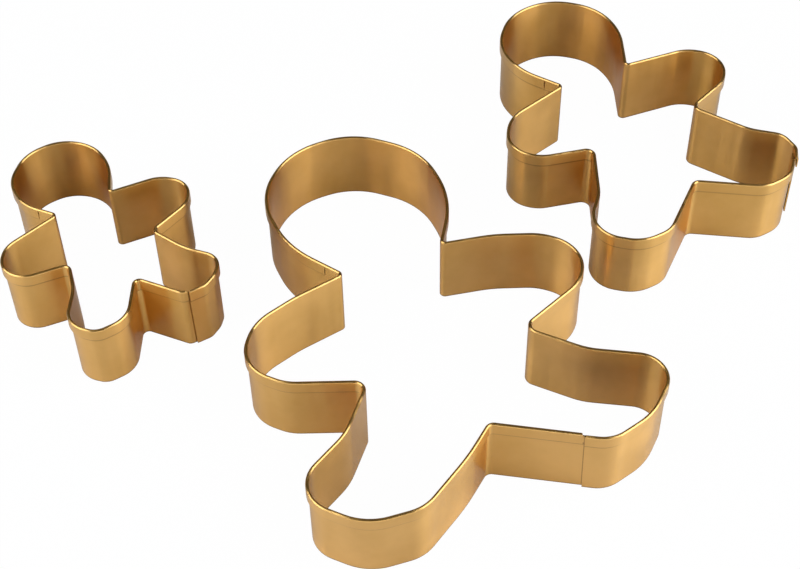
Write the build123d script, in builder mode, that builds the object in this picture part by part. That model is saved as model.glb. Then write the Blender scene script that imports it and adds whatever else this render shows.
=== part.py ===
# A set of three open cookie cutters in the outline of a gingerbread figure, nested sizes.
# Each cutter is one thin brass-coloured strip on edge, bent round the figure by hand. The lower
# edge cuts. The upper edge is folded over outwards into a flat hem, which is safe to press on.
# The strip's two ends lap at the bend of the right foot and are held by two spot welds.
import os
from math import asin, degrees, radians, tan

from build123d import *

# Strip and hem, shared by the three cutters
wall_height = 22.0  # from the cutting edge to the top of the fold
strip_thickness = 0.4
hem_depth = 3.7  # how far the folded flap reaches down the outside
fold_gap = 0.2  # space between the wall and the flap
slit_width = 0.35  # relief slit in the flap
slit_setback = 5.8  # from the left neck bend to the slit, along the head
overrun = 0.5  # how far a cutting block reaches past what it cuts

# Lapped seam
lap_length = 3.0  # how far the inner end runs on behind the outer end
lap_gap = 0.15  # between the two plies, filled by the welds
seam_slit = 0.5  # between the end of the inner ply's hem and the outer ply's hem
weld_radius = 0.9
weld_height_shares = (0.27, 0.62)  # of the wall height

# Figures, measured along the middle of the folded rim: heel line to crown
large_length = 129.0
medium_length = 102.5
small_length = 74.0

# Where each figure stands: middle of its heel line, and its turn about Z in degrees. The medium
# one's left foot is beside the large one's right hand, and the small one is behind its left hand.
large_place = (-13.15, -80.26)
large_turn = 0.0
medium_gap = 2.2  # across, from the reach of the large one's hand to that of the medium one's foot
medium_turn = 5.5
small_turn = 9.0
hand_reach_share = 0.402  # of the large length, from its centre line
foot_reach_share = 0.375  # of the medium length, from its centre line
medium_up_share = 0.450  # of the large length, from its heel line to the medium one's
small_back_shares = (-0.4987, 0.6767)  # of the large length, from its place to the small one's

# Where the outer end starts: share of the run from the last bend to the first one, past the slit
large_seam_share = 0.750
medium_seam_share = 0.364
small_seam_share = 0.008

# Bends of each outline, anticlockwise from the one after the seam to the one before it.
# Each has its place, x from the figure's centre line, y up from the heel line and bend radius,
# all as shares of the figure's length. The strip is bent by hand, so the two sides differ a little.
large_outline_shares = [
    ("right foot", 0.203, -0.006, 0.070),
    ("right foot", 0.305, 0.018, 0.150),
    ("right foot", 0.422, 0.121, 0.060),
    ("right hip", 0.263, 0.216, 0.150),
    ("right armpit", 0.170, 0.320, 0.020),
    ("right hand", 0.324, 0.380, 0.100),
    ("right hand", 0.402, 0.458, 0.085),
    ("right hand", 0.321, 0.541, 0.120),
    ("right shoulder", 0.227, 0.579, 0.300),
    ("right neck", 0.114, 0.602, 0.0),
    ("head", 0.1915, 0.718, 0.250),
    ("head", 0.191, 0.883, 0.172),
    ("head", 0.069, 1.0, 0.165),
    ("head", -0.082, 1.0, 0.172),
    ("head", -0.1915, 0.892, 0.170),
    ("head", -0.1895, 0.729, 0.230),
    ("left neck", -0.110, 0.605, 0.0),
    ("left shoulder", -0.227, 0.585, 0.300),
    ("left hand", -0.327, 0.555, 0.120),
    ("left hand", -0.396, 0.460, 0.082),
    ("left hand", -0.325, 0.381, 0.100),
    ("left armpit", -0.173, 0.318, 0.020),
    ("left hip", -0.263, 0.216, 0.150),
    ("left foot", -0.418, 0.131, 0.068),
    ("left foot", -0.306, 0.008, 0.120),
    ("left foot", -0.191, -0.003, 0.090),
    ("left shin", -0.068, 0.071, 0.500),
    ("crotch", 0.002, 0.1265, 0.015),
]
medium_outline_shares = [
    ("right foot", 0.3215, 0.090, 0.035),
    ("right foot", 0.3215, 0.154, 0.050),
    ("right hip", 0.254, 0.217, 0.150),
    ("right armpit", 0.166, 0.377, 0.022),
    ("right hand", 0.315, 0.426, 0.100),
    ("right hand", 0.383, 0.513, 0.085),
    ("right hand", 0.304, 0.596, 0.110),
    ("right neck", 0.104, 0.626, 0.0),
    ("head", 0.178, 0.768, 0.220),
    ("head", 0.179, 0.894, 0.165),
    ("head", 0.0715, 1.0, 0.165),
    ("head", -0.0705, 1.0, 0.165),
    ("head", -0.180, 0.891, 0.165),
    ("head", -0.181, 0.764, 0.200),
    ("left neck", -0.109, 0.640, 0.0),
    ("left hand", -0.316, 0.598, 0.125),
    ("left hand", -0.392, 0.492, 0.085),
    ("left hand", -0.325, 0.416, 0.100),
    ("left armpit", -0.177, 0.372, 0.022),
    ("left hip", -0.265, 0.210, 0.150),
    ("left foot", -0.375, 0.107, 0.087),
    ("left foot", -0.260, 0.001, 0.110),
    ("left foot", -0.170, 0.001, 0.080),
    ("crotch", -0.006, 0.123, 0.020),
    ("right foot", 0.156, 0.007, 0.080),
    ("right foot", 0.243, 0.010, 0.090),
]
small_outline_shares = [
    ("right foot", 0.200, 0.000, 0.050),
    ("right foot", 0.252, 0.027, 0.080),
    ("right foot", 0.316, 0.094, 0.066),
    ("right hip", 0.223, 0.210, 0.300),
    ("right armpit", 0.163, 0.355, 0.025),
    ("right hand", 0.337, 0.413, 0.110),
    ("right hand", 0.405, 0.507, 0.086),
    ("right hand", 0.318, 0.599, 0.130),
    ("right neck", 0.117, 0.629, 0.0),
    ("head", 0.181, 0.762, 0.240),
    ("head", 0.181, 0.901, 0.170),
    ("head", 0.078, 1.0, 0.165),
    ("head", -0.070, 1.0, 0.165),
    ("head", -0.187, 0.888, 0.155),
    ("head", -0.189, 0.744, 0.160),
    ("left neck", -0.104, 0.627, 0.0),
    ("left hand", -0.338, 0.577, 0.110),
    ("left hand", -0.4045, 0.480, 0.092),
    ("left hand", -0.341, 0.397, 0.090),
    ("left armpit", -0.174, 0.367, 0.025),
    ("left hip", -0.213, 0.243, 0.200),
    ("left foot", -0.309, 0.105, 0.095),
    ("left foot", -0.231, 0.012, 0.070),
    ("left foot", -0.108, 0.011, 0.110),
    ("crotch", 0.000, 0.173, 0.020),
    ("right foot", 0.114, 0.012, 0.028),
]

# Sizes that follow from the strip
half_hem = strip_thickness + fold_gap / 2  # from the middle of the rim to either face of the hem
half_gap = fold_gap / 2
fold_start = wall_height - strip_thickness  # height where the wall starts to turn over
ply_pitch = strip_thickness + lap_gap
tight_bend = 2 * half_hem  # sharpest bend that the folded rim takes
up = Vector(0, 0, 1)

# Places that follow from the large figure's
medium_across = hand_reach_share * large_length + medium_gap + foot_reach_share * medium_length
medium_place = (large_place[0] + medium_across, large_place[1] + medium_up_share * large_length)
small_place = (
    large_place[0] + small_back_shares[0] * large_length,
    large_place[1] + small_back_shares[1] * large_length,
)


def bends(outline_shares, length, stand):
    """The outline's corners, where the figure stands, and the radius of each bend."""
    corners = []
    radii = []
    for _, across_share, up_share, radius_share in outline_shares:
        corners.append(stand.from_local_coords(Vector(across_share * length, up_share * length, 0)))
        radii.append(max(radius_share * length, tight_bend))
    return corners, radii


def seam(corners, radii, seam_share):
    """Along and out of the seam, and the point on the inner ply's rim line at the outer end."""
    run = corners[0] - corners[-1]
    lean = degrees(asin(ply_pitch / run.length))
    along = run.rotate(Axis.Z, lean).normalized()
    last_turn = (corners[-1] - corners[-2]).get_angle(along)
    first_place = radii[-1] * tan(radians(last_turn / 2)) + seam_slit
    meeting = corners[-1] + along * (first_place + seam_share * (run.length - first_place))
    return along, along.cross(up), meeting


def hemmed_strip(corners, radii, along, outward, meeting):
    """The strip on edge: wall, folded hem and the plain end that goes behind the other end."""
    outer_end = meeting + outward * ply_pitch
    hem_end = meeting - along * seam_slit
    with BuildPart() as strip:
        with BuildLine() as rim:
            FilletPolyline(outer_end, *corners, hem_end, radius=radii)
        start = Plane(origin=rim.line @ 0, x_dir=outward, z_dir=-(rim.line % 0))
        with BuildSketch(start):
            with BuildLine():
                Polyline(
                    (-half_hem, wall_height),
                    (-half_hem, 0),
                    (-half_gap, 0),
                    (-half_gap, fold_start),
                    (half_gap, fold_start),
                    (half_gap, wall_height - hem_depth),
                    (half_hem, wall_height - hem_depth),
                    (half_hem, wall_height),
                    close=True,
                )
            make_face()
        sweep(path=rim.line)
        with BuildSketch():
            with BuildLine():
                inside = -outward * half_hem
                outside = -outward * half_gap
                tail_end = meeting + along * lap_length
                Polyline(hem_end + inside, tail_end + inside, tail_end + outside, hem_end + outside, close=True)
            make_face()
        extrude(amount=fold_start)
    return strip


def neck_slit(corners, neck):
    """The block that slits the flap on the head side of the left neck bend."""
    along = (corners[neck] - corners[neck - 1]).normalized()
    outward = along.cross(up)
    slit = Plane(corners[neck] - along * slit_setback, x_dir=along, z_dir=up)
    floor = wall_height - hem_depth - overrun
    with BuildPart(slit.offset(floor)) as block:
        Box(slit_width, half_hem + overrun, fold_start - floor, align=(Align.CENTER, Align.MAX, Align.MIN))
    return block


def band(outline_shares, length, place, turn, seam_share):
    """One cutter's strip."""
    stand = Plane(origin=(place[0], place[1], 0)).rotated((0, 0, turn))
    corners, radii = bends(outline_shares, length, stand)
    along, outward, meeting = seam(corners, radii, seam_share)
    strip = hemmed_strip(corners, radii, along, outward, meeting)
    neck = [row[0] for row in outline_shares].index("left neck")
    block = neck_slit(corners, neck)
    with BuildPart() as whole:
        add(strip.part)
        add(block.part, mode=Mode.SUBTRACT)
    return whole


def seam_welds(outline_shares, length, place, turn, seam_share):
    """The two weld nuggets between the plies of one cutter's lap."""
    stand = Plane(origin=(place[0], place[1], 0)).rotated((0, 0, turn))
    corners, radii = bends(outline_shares, length, stand)
    along, outward, meeting = seam(corners, radii, seam_share)
    middle = meeting + along * (lap_length / 2) - outward * half_gap
    with BuildPart(Plane(origin=middle, x_dir=along, z_dir=outward)) as nuggets:
        with Locations(*[(0, share * wall_height, 0) for share in weld_height_shares]):
            Cylinder(weld_radius, lap_gap, align=(Align.CENTER, Align.CENTER, Align.MIN))
    return nuggets


os.makedirs("parts", exist_ok=True)

large = (large_outline_shares, large_length, large_place, large_turn, large_seam_share)
medium = (medium_outline_shares, medium_length, medium_place, medium_turn, medium_seam_share)
small = (small_outline_shares, small_length, small_place, small_turn, small_seam_share)

large_band = band(*large)
large_band.part.label = "large_band"
export_step(large_band.part, "parts/large_band.step")

large_seam_welds = seam_welds(*large)
large_seam_welds.part.label = "large_seam_welds"
export_step(large_seam_welds.part, "parts/large_seam_welds.step")

medium_band = band(*medium)
medium_band.part.label = "medium_band"
export_step(medium_band.part, "parts/medium_band.step")

medium_seam_welds = seam_welds(*medium)
medium_seam_welds.part.label = "medium_seam_welds"
export_step(medium_seam_welds.part, "parts/medium_seam_welds.step")

small_band = band(*small)
small_band.part.label = "small_band"
export_step(small_band.part, "parts/small_band.step")

small_seam_welds = seam_welds(*small)
small_seam_welds.part.label = "small_seam_welds"
export_step(small_seam_welds.part, "parts/small_seam_welds.step")
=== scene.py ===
# %% [markdown]
# Three hand-bent cookie cutters
#
# The real things are three open cookie cutters in the outline of a gingerbread figure. Each one is a
# single brass-coloured strip that stands on edge. Its top is folded over outwards into a flat hem, and
# its two ends lap at the right foot, held by two spot welds.
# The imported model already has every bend. So this lesson takes each strip from it, rounds what was left
# square, and then spends its time on the metal and on the light.

import math

import bmesh
import bpy
from mathutils import Matrix, Vector


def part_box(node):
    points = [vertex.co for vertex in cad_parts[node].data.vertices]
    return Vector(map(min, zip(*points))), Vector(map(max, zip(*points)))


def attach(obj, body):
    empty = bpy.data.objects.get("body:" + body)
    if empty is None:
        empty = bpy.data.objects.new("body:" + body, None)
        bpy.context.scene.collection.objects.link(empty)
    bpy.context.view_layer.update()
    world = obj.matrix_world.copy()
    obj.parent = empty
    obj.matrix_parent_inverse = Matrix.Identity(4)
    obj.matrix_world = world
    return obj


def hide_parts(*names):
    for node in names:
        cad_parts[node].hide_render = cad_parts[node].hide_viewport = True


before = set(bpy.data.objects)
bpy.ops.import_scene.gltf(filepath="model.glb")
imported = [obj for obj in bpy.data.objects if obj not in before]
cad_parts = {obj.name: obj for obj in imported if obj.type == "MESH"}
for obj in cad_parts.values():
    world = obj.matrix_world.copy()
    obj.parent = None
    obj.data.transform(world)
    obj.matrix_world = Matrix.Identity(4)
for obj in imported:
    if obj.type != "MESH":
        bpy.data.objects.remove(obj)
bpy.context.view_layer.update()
print("nodes:", sorted(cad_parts))

MM = 0.001
CUTTERS = ("large", "medium", "small")
wall_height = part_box("large_band")[1].z
print("wall height", round(wall_height / MM, 2), "mm")

# %% [markdown]
# The strips
#
# A strip of metal has no sharp edges. The fold at the top is round, because metal can't be bent to a
# corner, and the cut edges have been dulled. These roundings are small, but they carry the thin bright
# lines that make the cutters read as metal.
# The strip could be drawn again from its outline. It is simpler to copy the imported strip, merge its
# loose triangles into whole faces, and round the edges of that copy with a bevel.
# Corners that almost touch are merged as well, because a bevel doesn't fit on an edge that short.

# %% Sizes of the strip
strip_thickness = 0.4 * MM
hem_depth = 3.7 * MM
fold_start = wall_height - strip_thickness
crown_radius = 0.485 * MM
lip_radius = 0.14 * MM
same_place = 0.045 * MM
flat_angle = math.radians(0.6)
sharp_angle = math.radians(32)
edge_angle = math.radians(60)
upright_limit = 0.1


# %% Copy a packed strip as one closed skin
def merged_copy(node, name):
    """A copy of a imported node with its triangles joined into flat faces."""
    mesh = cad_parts[node].data.copy()
    mesh.name = name
    mesh.materials.clear()
    skin = bmesh.new()
    skin.from_mesh(mesh)
    bmesh.ops.remove_doubles(skin, verts=skin.verts, dist=same_place)
    bmesh.ops.dissolve_limit(
        skin, angle_limit=flat_angle, use_dissolve_boundaries=False, verts=skin.verts, edges=skin.edges
    )
    skin.to_mesh(mesh)
    skin.free()
    for attribute in list(mesh.attributes):
        if attribute.name in ("custom_normal", "UVMap"):
            mesh.attributes.remove(attribute)
    band = bpy.data.objects.new(name, mesh)
    bpy.context.scene.collection.objects.link(band)
    print(name, len(mesh.vertices), "corners", len(mesh.polygons), "faces")
    return band


# %% [markdown]
# Which side is out
#
# The flap lies on the outside of the wall only, and so does the painted shade in the crease under it. The
# metal needs to know that side. A number on each face tells it: the inside is what can be reached along the
# wall from a face of full height, because the outside stops under the fold.

# %% Mark the outer side
OUTER_SIDE = "outer side"


def reaches(face, low, high, slack=0.05 * MM):
    """Whether a face stands upright and runs from one height to the other."""
    heights = [corner.co.z for corner in face.verts]
    upright = abs(face.normal.z) < upright_limit
    return upright and abs(min(heights) - low) < slack and abs(max(heights) - high) < slack


def mark_outer_side(skin):
    """Writes 1 on the faces of the outer side and 0 on the others."""
    outer = skin.faces.layers.float.new(OUTER_SIDE)
    inside = {face for face in skin.faces if reaches(face, 0, wall_height)}
    to_visit = list(inside)
    while to_visit:
        face = to_visit.pop()
        for edge in face.edges:
            bends = edge.calc_face_angle(0) < edge_angle
            for beside in edge.link_faces:
                if beside not in inside and abs(beside.normal.z) < upright_limit and bends:
                    inside.add(beside)
                    to_visit.append(beside)
    for face in skin.faces:
        face[outer] = float(face not in inside)
    return len(skin.faces) - len(inside)


# %% [markdown]
# The cut ends
#
# Snips leave small marks where the strip or its flap was cut. At the lapped seam the outer ply's end is
# cut a little aslant, or stands off, and the tail behind it is trimmed below the rim. Beside the slit at
# the left neck the flap's corner is bent out. These are moves of a few tenths of a millimetre.

# %% Find the ends and move them
FROM_SEAM = "from seam"
UNDER_SEAM = "under seam"
ply_end_moves = {
    "large": {"top": 0.25 * MM, "foot": 0.75 * MM, "off": 0.0},
    "medium": {"top": 0.0, "foot": 0.0, "off": 0.35 * MM},
    "small": {"top": 0.0, "foot": 0.4 * MM, "off": 0.05 * MM},
}
hem_end_move = 0.3 * MM
tail_trim = 0.8 * MM
slit_kick = 0.25 * MM
slit_drop = 0.2 * MM
widest_cut_end = 1.6 * MM
hem_end_reach = 9 * MM
lap_reach = 2.5 * MM


def level(vector):
    """The same direction without its height."""
    return Vector((vector.x, vector.y, 0.0)).normalized()


def cut_ends(skin):
    """The narrow upright faces where the strip or its flap is cut."""
    ends = []
    for face in skin.faces:
        upright = [
            edge for edge in face.edges if abs((edge.verts[0].co - edge.verts[1].co).normalized().z) > 0.9
        ]
        sharp = upright and all(edge.calc_face_angle(0) > edge_angle for edge in upright)
        width = max((first.co - second.co).xy.length for first in face.verts for second in face.verts)
        if abs(face.normal.z) < upright_limit and sharp and width < widest_cut_end:
            ends.append(face)
    return ends


def shape_seam(skin, moves):
    """Moves the ends at the seam, and gives the outer ply's edge: its foot, its lean and two directions."""
    ends = cut_ends(skin)
    ply_end = next(face for face in ends if reaches(face, 0, wall_height))
    middle = ply_end.calc_center_median()
    free = level(ply_end.normal)
    foot = sum((corner.co for corner in ply_end.verts if corner.co.z < MM), Vector()) / 2
    flap = [corner.co for corner in ply_end.verts if abs(corner.co.z - wall_height + hem_depth) < 0.1 * MM]
    out = level(sum(flap, Vector()) / len(flap) - foot)
    hem_end = next(
        face
        for face in ends
        if reaches(face, wall_height - hem_depth, wall_height)
        and (face.calc_center_median() - middle).length < hem_end_reach
    )
    for corner in hem_end.verts:
        if (corner.co - foot).dot(out) > -0.1 * MM:
            corner.co += level(hem_end.normal) * hem_end_move
    for corner in ply_end.verts:
        down = 1 - corner.co.z / wall_height
        corner.co -= free * (moves["top"] + (moves["foot"] - moves["top"]) * down)
        corner.co += out * moves["off"]
    tail_top = [
        face
        for face in skin.faces
        if face.normal.z > 0.9 and abs(face.calc_center_median().z - fold_start) < 0.05 * MM
    ]
    for corner in {corner for face in tail_top for corner in face.verts}:
        corner.co.z -= tail_trim
    return {
        "foot": foot - free * moves["foot"],
        "lean": moves["foot"] - moves["top"],
        "free": free,
        "out": out,
    }


def kick_slit(skin):
    """Keeps the slit's top clear of the round crown, and bends the flap's free corner out beside it."""
    slits = [face for face in cut_ends(skin) if reaches(face, wall_height - hem_depth, fold_start)]
    for corner in {corner for face in slits for corner in face.verts}:
        if corner.co.z > fold_start - 0.1 * MM:
            corner.co.z -= slit_drop
    for face in slits[:1]:
        middle = face.calc_center_median()
        walls = [other for other in skin.faces if reaches(other, 0, fold_start)]
        wall = min(walls, key=lambda other: (other.calc_center_median() - middle).length)
        for corner in sorted(face.verts, key=lambda corner: corner.co.z)[:2]:
            corner.co += level(wall.normal) * slit_kick
    return len(slits)


def mark_seam(skin, seam):
    """Writes how far each corner lies before the outer ply's edge, and marks the faces under it."""
    # These numbers place the painted shade beside the seam's outer ply.
    before = skin.verts.layers.float.new(FROM_SEAM)
    under = skin.faces.layers.float.new(UNDER_SEAM)
    for corner in skin.verts:
        lean = seam["lean"] * corner.co.z / wall_height
        corner[before] = ((corner.co - seam["foot"]).dot(seam["free"]) - lean) / MM
    for face in skin.faces:
        spans = [corner[before] for corner in face.verts]
        aside = [(corner.co - seam["foot"]).dot(seam["out"]) for corner in face.verts]
        near = max(abs(value) for value in aside) < lap_reach
        crosses = min(spans) < -0.1 and max(spans) > 0.6
        face[under] = float(near and crosses and face.normal.dot(seam["out"]) > 0.8)
    return sum(int(face[under]) for face in skin.faces)


# %% [markdown]
# Rounding
#
# A bevel on the two long edges of the fold turns its square crown into a half round. The free edge of
# the flap and the cutting edge get a much smaller one.
# The bevel isn't clamped: one short edge at a seam would otherwise hold a whole rim almost square.

# %% Round the fold and the cut edges
def long_edges(skin, height, slack=0.02 * MM):
    """The sharp edges that lie at one height."""
    return [
        edge
        for edge in skin.edges
        if len(edge.link_faces) == 2
        and all(abs(corner.co.z - height) < slack for corner in edge.verts)
        and edge.calc_face_angle(0) > edge_angle
    ]


def round_edges(skin, edges, radius, segments):
    """Bevels the given edges."""
    bmesh.ops.bevel(
        skin,
        geom=edges,
        offset=radius,
        offset_type="OFFSET",
        affect="EDGES",
        segments=segments,
        profile=0.5,
        material=-1,
        clamp_overlap=False,
    )


def round_strip(band, moves):
    """Shapes the cut ends, then rounds the crown of the fold, the flap's free edge and the cutting edge."""
    skin = bmesh.new()
    skin.from_mesh(band.data)
    print(band.name, "has", mark_outer_side(skin), "faces on its outer side")
    print(band.name, "has", kick_slit(skin), "sides of its slit")
    seam = shape_seam(skin, moves)
    round_edges(skin, long_edges(skin, wall_height), crown_radius, 5)
    round_edges(skin, long_edges(skin, wall_height - hem_depth), lip_radius, 2)
    round_edges(skin, long_edges(skin, 0), lip_radius, 2)
    print(band.name, "has", mark_seam(skin, seam), "faces under its seam")
    for face in skin.faces:
        face.smooth = True
    for edge in skin.edges:
        edge.smooth = edge.calc_face_angle(0) < sharp_angle
    skin.to_mesh(band.data)
    skin.free()
    shading = band.modifiers.new("Even shading", "WEIGHTED_NORMAL")
    shading.keep_sharp = True
    shading.mode = "FACE_AREA"
    shading.weight = 100
    print(band.name, "rounded:", len(band.data.polygons), "faces")


bands = {}
for size in CUTTERS:
    band = merged_copy(size + "_band", size + "_hemmed_strip")
    round_strip(band, ply_end_moves[size])
    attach(band, size + "_cutter")
    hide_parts(size + "_band")
    bands[size] = band

# %% [markdown]
# The metal
#
# The strip is brass-coloured metal with a satin face. It was rolled lengthwise, so its fine scratches
# run along the strip, and a reflection in them is drawn out up and down. Handling has left faint
# smudges, and bending by hand a slow waviness.
# One Principled shader with Metallic at 1 does this. The scratches are a noise that is squeezed in
# height, so that each one is long and thin. They share one node group with the smudges and the waves,
# because the welds take their smudges from it too.


# %% A node group for scratches along the strip
def link(tree, start, end):
    """Joins an output to an input."""
    tree.links.new(start, end)


def rolled_grain_group():
    """Streaks that run along a strip standing on edge, soft smudges, and upright waves from bending."""
    group = bpy.data.node_groups.new("Rolled grain", "ShaderNodeTree")
    face = group.interface
    face.new_socket("Place", in_out="INPUT", socket_type="NodeSocketVector")
    streaks_per_metre = face.new_socket("Streaks Per Metre", in_out="INPUT", socket_type="NodeSocketFloat")
    streaks_per_metre.default_value = 5000.0
    smudges_per_metre = face.new_socket("Smudges Per Metre", in_out="INPUT", socket_type="NodeSocketFloat")
    smudges_per_metre.default_value = 45.0
    for name in ("Streak", "Smudge", "Wave"):
        face.new_socket(name, in_out="OUTPUT", socket_type="NodeSocketFloat")
    nodes = group.nodes
    given = nodes.new("NodeGroupInput")
    result = nodes.new("NodeGroupOutput")
    squeeze = nodes.new("ShaderNodeMapping")
    squeeze.inputs["Scale"].default_value = (0.008, 0.008, 1.0)
    streaks = nodes.new("ShaderNodeTexNoise")
    streaks.inputs["Detail"].default_value = 3.0
    streaks.inputs["Roughness"].default_value = 0.6
    smudges = nodes.new("ShaderNodeTexNoise")
    smudges.inputs["Detail"].default_value = 4.0
    smudges.inputs["Roughness"].default_value = 0.55
    link(group, given.outputs["Place"], squeeze.inputs["Vector"])
    link(group, squeeze.outputs["Vector"], streaks.inputs["Vector"])
    link(group, given.outputs["Streaks Per Metre"], streaks.inputs["Scale"])
    link(group, given.outputs["Place"], smudges.inputs["Vector"])
    link(group, given.outputs["Smudges Per Metre"], smudges.inputs["Scale"])
    tall = nodes.new("ShaderNodeMapping")
    tall.inputs["Scale"].default_value = (1.0, 1.0, 0.12)
    waves = nodes.new("ShaderNodeTexNoise")
    waves.inputs["Scale"].default_value = 190.0
    waves.inputs["Detail"].default_value = 1.0
    link(group, given.outputs["Place"], tall.inputs["Vector"])
    link(group, tall.outputs["Vector"], waves.inputs["Vector"])
    link(group, waves.outputs["Fac"], result.inputs["Wave"])
    link(group, streaks.outputs["Fac"], result.inputs["Streak"])
    link(group, smudges.outputs["Fac"], result.inputs["Smudge"])
    return group


rolled_grain = rolled_grain_group()
print("group", rolled_grain.name)

# %% [markdown]
# Where the strip is polished, and where shade and a highlight are painted
#
# A few lines run along each cutter. The crown of the fold is polished by hands, so it is glossier, and its
# colour is painted paler as a painted highlight. A dark brown is painted as painted shade in the crease under
# the flap's free edge, along the cutting edge, and beside the line where the lapped seam's outer ply ends.
# The first three lie at known heights, so their masks come from the height on the strip and its outer
# side. The seam's line comes from a distance that was written on the mesh.


# %% A node group for the crown, the crease and the cut edges
def ramp(tree, value, start, end, label):
    """0 before the start, 1 after the end, and smooth between them."""
    change = tree.nodes.new("ShaderNodeMapRange")
    change.interpolation_type = "SMOOTHSTEP"
    change.label = label
    change.inputs["From Min"].default_value = start
    change.inputs["From Max"].default_value = end
    link(tree, value, change.inputs["Value"])
    return change.outputs["Result"]


def times(tree, first, second):
    """Multiplies two values."""
    product = tree.nodes.new("ShaderNodeMath")
    product.operation = "MULTIPLY"
    for socket, value in zip(product.inputs, (first, second)):
        if isinstance(value, bpy.types.NodeSocket):
            link(tree, value, socket)
        else:
            socket.default_value = value
    return product.outputs[0]


def strip_lines_group():
    """Masks of the crown, the crease under the flap, the cutting edge and the seam's line."""
    group = bpy.data.node_groups.new("Strip lines", "ShaderNodeTree")
    face = group.interface
    face.new_socket("Place", in_out="INPUT", socket_type="NodeSocketVector")
    face.new_socket("Outer Side", in_out="INPUT", socket_type="NodeSocketFloat")
    for name in ("From Seam", "Under Seam"):
        face.new_socket(name, in_out="INPUT", socket_type="NodeSocketFloat")
    for name in ("Crown", "Crease", "Cut Edge", "Seam"):
        face.new_socket(name, in_out="OUTPUT", socket_type="NodeSocketFloat")
    given = group.nodes.new("NodeGroupInput")
    result = group.nodes.new("NodeGroupOutput")
    parts = group.nodes.new("ShaderNodeSeparateXYZ")
    link(group, given.outputs["Place"], parts.inputs[0])
    height = parts.outputs["Z"]
    flap_edge = wall_height - hem_depth
    # The crease, cut edge and seam masks place painted shade; the crown mask places a painted highlight and
    # the polished crown's gloss.
    crown = ramp(group, height, wall_height - 1.1 * crown_radius, wall_height - 0.6 * crown_radius, "crown")
    near_flap = ramp(group, height, flap_edge - 1.15 * MM, flap_edge - 0.65 * MM, "up to the flap")
    on_flap = ramp(group, height, flap_edge + 0.10 * MM, flap_edge, "not on the flap")
    crease = times(group, times(group, near_flap, on_flap), given.outputs["Outer Side"])
    link(group, crown, result.inputs["Crown"])
    link(group, crease, result.inputs["Crease"])
    link(group, ramp(group, height, 0.55 * MM, 0.25 * MM, "cutting edge"), result.inputs["Cut Edge"])
    beside = ramp(group, given.outputs["From Seam"], 0.38, 0.12, "beside the seam")
    link(group, times(group, beside, given.outputs["Under Seam"]), result.inputs["Seam"])
    return group


strip_lines = strip_lines_group()
print("group", strip_lines.name)


# %% The gold-coloured strip
def spread(tree, value, low, high, label):
    """Maps a noise, which mostly lies from 0.3 to 0.7, to a range."""
    change = tree.nodes.new("ShaderNodeMapRange")
    change.label = label
    change.inputs["From Min"].default_value = 0.3
    change.inputs["From Max"].default_value = 0.7
    change.inputs["To Min"].default_value = low
    change.inputs["To Max"].default_value = high
    link(tree, value, change.inputs["Value"])
    return change.outputs["Result"]


def mixed(tree, share, first, second, blend="MIX"):
    """Mixes two colours by a share."""
    mix = tree.nodes.new("ShaderNodeMix")
    mix.data_type = "RGBA"
    mix.blend_type = blend
    for socket, value in ((mix.inputs["Factor"], share), (mix.inputs[6], first), (mix.inputs[7], second)):
        if isinstance(value, bpy.types.NodeSocket):
            link(tree, value, socket)
        else:
            socket.default_value = value
    return mix.outputs[2]


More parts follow.
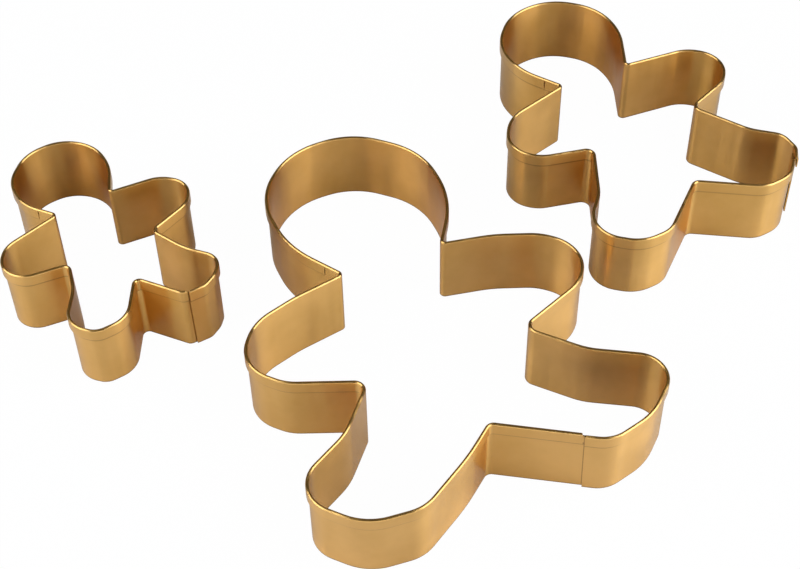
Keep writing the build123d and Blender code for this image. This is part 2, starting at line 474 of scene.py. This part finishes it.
def gold_strip_metal():
    """Satin gold-coloured metal with its grain along the strip."""
    metal = bpy.data.materials.new("Gold-coloured strip")
    metal.use_nodes = True
    tree = metal.node_tree
    nodes = tree.nodes
    shader = nodes["Principled BSDF"]
    shader.inputs["Metallic"].default_value = 1.0
    shader.inputs["Anisotropic"].default_value = 0.95
    shader.inputs["Coat Weight"].default_value = 0.5
    shader.inputs["Coat Roughness"].default_value = 0.2
    place = nodes.new("ShaderNodeTexCoord").outputs["Object"]
    grain = nodes.new("ShaderNodeGroup")
    grain.node_tree = rolled_grain
    link(tree, place, grain.inputs["Place"])
    lines = nodes.new("ShaderNodeGroup")
    lines.node_tree = strip_lines
    link(tree, place, lines.inputs["Place"])
    for socket, name in (("Outer Side", OUTER_SIDE), ("From Seam", FROM_SEAM), ("Under Seam", UNDER_SEAM)):
        written = nodes.new("ShaderNodeAttribute")
        written.attribute_name = name
        link(tree, written.outputs["Fac"], lines.inputs[socket])
    tone = spread(tree, grain.outputs["Smudge"], 0.0, 1.0, "tone")
    deep_gold, pale_gold = (0.60, 0.33, 0.068, 1.0), (0.735, 0.42, 0.112, 1.0)
    painted_shade_brown, painted_highlight_gold = (0.24, 0.115, 0.025, 1.0), (0.80, 0.50, 0.16, 1.0)
    colour = mixed(tree, tone, deep_gold, pale_gold)
    # Painted shade: dark brown, patchy in strength, in the crease under the flap, on the cutting edge and
    # beside the seam's outer ply.
    patchy = spread(tree, grain.outputs["Smudge"], 0.55, 0.95, "painted shade patches")
    for line, depth in (("Crease", 0.7), ("Cut Edge", 1.0), ("Seam", 0.8)):
        share = times(tree, times(tree, lines.outputs[line], patchy), depth)
        colour = mixed(tree, share, colour, painted_shade_brown)
    # Painted highlight: the crown's colour is lifted towards a paler gold.
    painted_highlight_share = times(tree, lines.outputs["Crown"], 0.4)
    colour = mixed(tree, painted_highlight_share, colour, painted_highlight_gold)
    link(tree, colour, shader.inputs["Base Color"])
    dull = spread(tree, grain.outputs["Smudge"], 0.34, 0.41, "dullness")
    crown_gloss = nodes.new("ShaderNodeMix")
    crown_gloss.label = "polished crown"
    crown_gloss.inputs["B"].default_value = 0.29
    link(tree, lines.outputs["Crown"], crown_gloss.inputs["Factor"])
    link(tree, dull, crown_gloss.inputs["A"])
    link(tree, crown_gloss.outputs["Result"], shader.inputs["Roughness"])
    upright = nodes.new("ShaderNodeCombineXYZ")
    upright.label = "across the grain"
    upright.inputs["X"].default_value = 0.02
    upright.inputs["Y"].default_value = 0.03
    upright.inputs["Z"].default_value = 1.0
    link(tree, upright.outputs["Vector"], shader.inputs["Tangent"])
    waves = nodes.new("ShaderNodeBump")
    waves.label = "waves from bending by hand"
    waves.inputs["Strength"].default_value = 1.0
    waves.inputs["Distance"].default_value = 0.25 * MM
    link(tree, grain.outputs["Wave"], waves.inputs["Height"])
    scratches = nodes.new("ShaderNodeBump")
    scratches.label = "scratches along the strip"
    scratches.inputs["Strength"].default_value = 0.05
    scratches.inputs["Distance"].default_value = 0.02 * MM
    link(tree, grain.outputs["Streak"], scratches.inputs["Height"])
    link(tree, waves.outputs["Normal"], scratches.inputs["Normal"])
    link(tree, scratches.outputs["Normal"], shader.inputs["Normal"])
    return metal


gold_strip = gold_strip_metal()
for band in bands.values():
    band.data.materials.append(gold_strip)
print("material", gold_strip.name)

# %% [markdown]
# The welds
#
# The two spot welds of each seam sit between the plies, where only their rims can be seen. The packed
# discs have the right shape, so they stay, and get a duller, browner metal from the same grain.


# %% The weld metal
def weld_metal():
    """Dull metal that the heat of welding has browned."""
    metal = bpy.data.materials.new("Seam weld")
    metal.use_nodes = True
    tree = metal.node_tree
    nodes = tree.nodes
    shader = nodes["Principled BSDF"]
    shader.inputs["Metallic"].default_value = 1.0
    place = nodes.new("ShaderNodeTexCoord").outputs["Object"]
    grain = nodes.new("ShaderNodeGroup")
    grain.node_tree = rolled_grain
    grain.inputs["Smudges Per Metre"].default_value = 900.0
    link(tree, place, grain.inputs["Place"])
    tone = spread(tree, grain.outputs["Smudge"], 0.0, 1.0, "heat")
    colour = mixed(tree, tone, (0.50, 0.34, 0.16, 1.0), (0.66, 0.48, 0.24, 1.0))
    link(tree, colour, shader.inputs["Base Color"])
    link(tree, spread(tree, grain.outputs["Smudge"], 0.38, 0.55, "dullness"), shader.inputs["Roughness"])
    bump = nodes.new("ShaderNodeBump")
    bump.inputs["Strength"].default_value = 0.4
    bump.inputs["Distance"].default_value = 0.02 * MM
    link(tree, grain.outputs["Smudge"], bump.inputs["Height"])
    link(tree, bump.outputs["Normal"], shader.inputs["Normal"])
    return metal


seam_weld = weld_metal()
for size in CUTTERS:
    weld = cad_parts[size + "_seam_welds"]
    for slot in weld.material_slots:
        slot.material = seam_weld
    print(weld.name, "takes", seam_weld.name)

# %% [markdown]
# The floor
#
# The cutters stand on a plain pale table. A metal shows what it mirrors, tinted by its own colour, and
# seen from above an upright wall mirrors the table at its foot. So the table matters as much as the
# lamps. It is brightened almost to white for the camera, so only a trace of shade stays on it.

# %% Lay the floor
floor_half = 1.5
floor_top = -0.02 * MM
skin = bmesh.new()
bmesh.ops.create_grid(skin, x_segments=1, y_segments=1, size=floor_half)
bmesh.ops.translate(skin, verts=skin.verts, vec=(0, 0, floor_top))
floor_mesh = bpy.data.meshes.new("table_top")
skin.to_mesh(floor_mesh)
skin.free()
floor = bpy.data.objects.new("table_top", floor_mesh)
bpy.context.scene.collection.objects.link(floor)


def shown_white(tree, to_camera, to_metal):
    """The share of plain white that a ray sees: one for the camera and through glass, one in metal."""
    rays = tree.nodes.new("ShaderNodeLightPath")
    straight = tree.nodes.new("ShaderNodeMath")
    straight.operation = "ADD"
    straight.use_clamp = True
    link(tree, rays.outputs["Is Camera Ray"], straight.inputs[0])
    link(tree, rays.outputs["Is Transmission Ray"], straight.inputs[1])
    both = tree.nodes.new("ShaderNodeMath")
    both.operation = "ADD"
    link(tree, times(tree, straight.outputs[0], to_camera), both.inputs[0])
    link(tree, times(tree, rays.outputs["Is Glossy Ray"], to_metal), both.inputs[1])
    return both.outputs[0]


def table_paint():
    """Pale matt paint that shows as near white to the camera, and a little brighter in the metal."""
    paint = bpy.data.materials.new("Pale table")
    paint.use_nodes = True
    tree = paint.node_tree
    nodes = tree.nodes
    matt = nodes["Principled BSDF"]
    matt.inputs["Base Color"].default_value = (0.80, 0.80, 0.80, 1.0)
    matt.inputs["Roughness"].default_value = 0.9
    matt.inputs["Specular IOR Level"].default_value = 0.2
    white = nodes.new("ShaderNodeEmission")
    white.inputs["Strength"].default_value = 1.0
    both = nodes.new("ShaderNodeMixShader")
    link(tree, shown_white(tree, 0.985, 0.04), both.inputs[0])
    link(tree, matt.outputs[0], both.inputs[1])
    link(tree, white.outputs[0], both.inputs[2])
    link(tree, both.outputs[0], nodes["Material Output"].inputs["Surface"])
    return paint


floor_mesh.materials.append(table_paint())
print("floor", 2 * floor_half, "m wide")

# %% [markdown]
# The light
#
# The bands on the metal are mirror pictures of the panels round it. The walls that face right and left
# are bright, so a tall panel stands on each side, and those that face front mirror a low, dimmer one.
# The rims' thin bright lines come from the same panels, and two faint high ones light the fold's top.
# The rest is a dim, warm room. It shows as white to the camera, as in the photograph, and hardly lights.


# %% Hang the panels
panel_distance = 1.2
camera_side = -112.5
middle = Vector((0.0, 0.0, wall_height / 2))


def panel(name, turn, lowest, highest, half_width, brightness, tint=(1.0, 1.0, 1.0)):
    """A soft panel, turned anticlockwise from the camera's side. All angles are as seen from the cutters."""
    around = math.radians(camera_side + turn)
    up = math.radians((lowest + highest) / 2)
    half_up = math.radians((highest - lowest) / 2)
    out = Vector((math.cos(up) * math.cos(around), math.cos(up) * math.sin(around), math.sin(up)))
    lamp = bpy.data.lights.new(name, "AREA")
    lamp.shape = "RECTANGLE"
    lamp.size = 2 * panel_distance * math.cos(up) * math.tan(math.radians(half_width))
    lamp.size_y = 2 * panel_distance * math.tan(half_up)
    lamp.energy = brightness * math.pi * lamp.size * lamp.size_y
    lamp.color = tint
    holder = bpy.data.objects.new(name, lamp)
    holder.location = middle + out * panel_distance
    holder.rotation_euler = (-out).to_track_quat("-Z", "Y").to_euler()
    bpy.context.scene.collection.objects.link(holder)
    print(name, "is", round(lamp.size, 2), "by", round(lamp.size_y, 2), "m and", round(lamp.energy, 1), "W")


panel("right_panel", turn=75, lowest=15, highest=60, half_width=30, brightness=3.8, tint=(0.94, 1.0, 1.14))
panel("left_panel", turn=-75, lowest=15, highest=60, half_width=30, brightness=3.35, tint=(0.97, 1.0, 1.1))
panel("low_front_panel", turn=0, lowest=1, highest=15, half_width=45, brightness=2.65, tint=(1.0, 1.0, 1.05))
panel("low_right_panel", turn=75, lowest=1, highest=15, half_width=30, brightness=2.6, tint=(0.95, 1.0, 1.12))
panel("high_right_panel", turn=100, lowest=58, highest=80, half_width=40, brightness=0.4)
panel("high_left_panel", turn=-100, lowest=58, highest=80, half_width=40, brightness=0.4)

# %% Fill the rest with a dim, warm room
world = bpy.data.worlds.new("Dim warm room")
bpy.context.scene.world = world
world.use_nodes = True
room = world.node_tree
sky = room.nodes["Background"]
sky.inputs["Color"].default_value = (1.0, 0.90, 0.76, 1.0)
sky.inputs["Strength"].default_value = 0.08
backdrop = room.nodes.new("ShaderNodeBackground")
backdrop.inputs["Color"].default_value = (1.0, 1.0, 1.0, 1.0)
backdrop.inputs["Strength"].default_value = 1.0
seen = room.nodes.new("ShaderNodeMixShader")
link(room, shown_white(room, 1.0, 0.01), seen.inputs[0])
link(room, sky.outputs[0], seen.inputs[1])
link(room, backdrop.outputs[0], seen.inputs[2])
link(room, seen.outputs[0], room.nodes["World Output"].inputs["Surface"])

# %% [markdown]
# The camera
#
# The picture was taken from in front of the left-hand side, looking down steeply. Lines that are
# upright on the cutters lean apart a little towards its edges, which gives the camera's distance.

# %% Place the camera
sensor_width = 36.0
lens_length = 74.62
camera_place = Vector((-0.12917, -0.28815, 0.3533))
heading = math.radians(-22.5)
up_from_straight_down = math.radians(42.045)
roll = math.radians(-1.1786)
camera_data = bpy.data.cameras.new("camera")
camera_data.sensor_width = sensor_width
camera_data.lens = lens_length
camera_data.clip_start = 0.01
camera = bpy.data.objects.new("camera", camera_data)
camera.matrix_world = (
    Matrix.Translation(camera_place)
    @ Matrix.Rotation(heading, 4, "Z")
    @ Matrix.Rotation(up_from_straight_down, 4, "X")
    @ Matrix.Rotation(roll, 4, "Z")
)
bpy.context.scene.collection.objects.link(camera)
bpy.context.scene.camera = camera
bpy.context.scene.view_settings.view_transform = "Standard"
print("camera at", [round(value, 3) for value in camera_place])
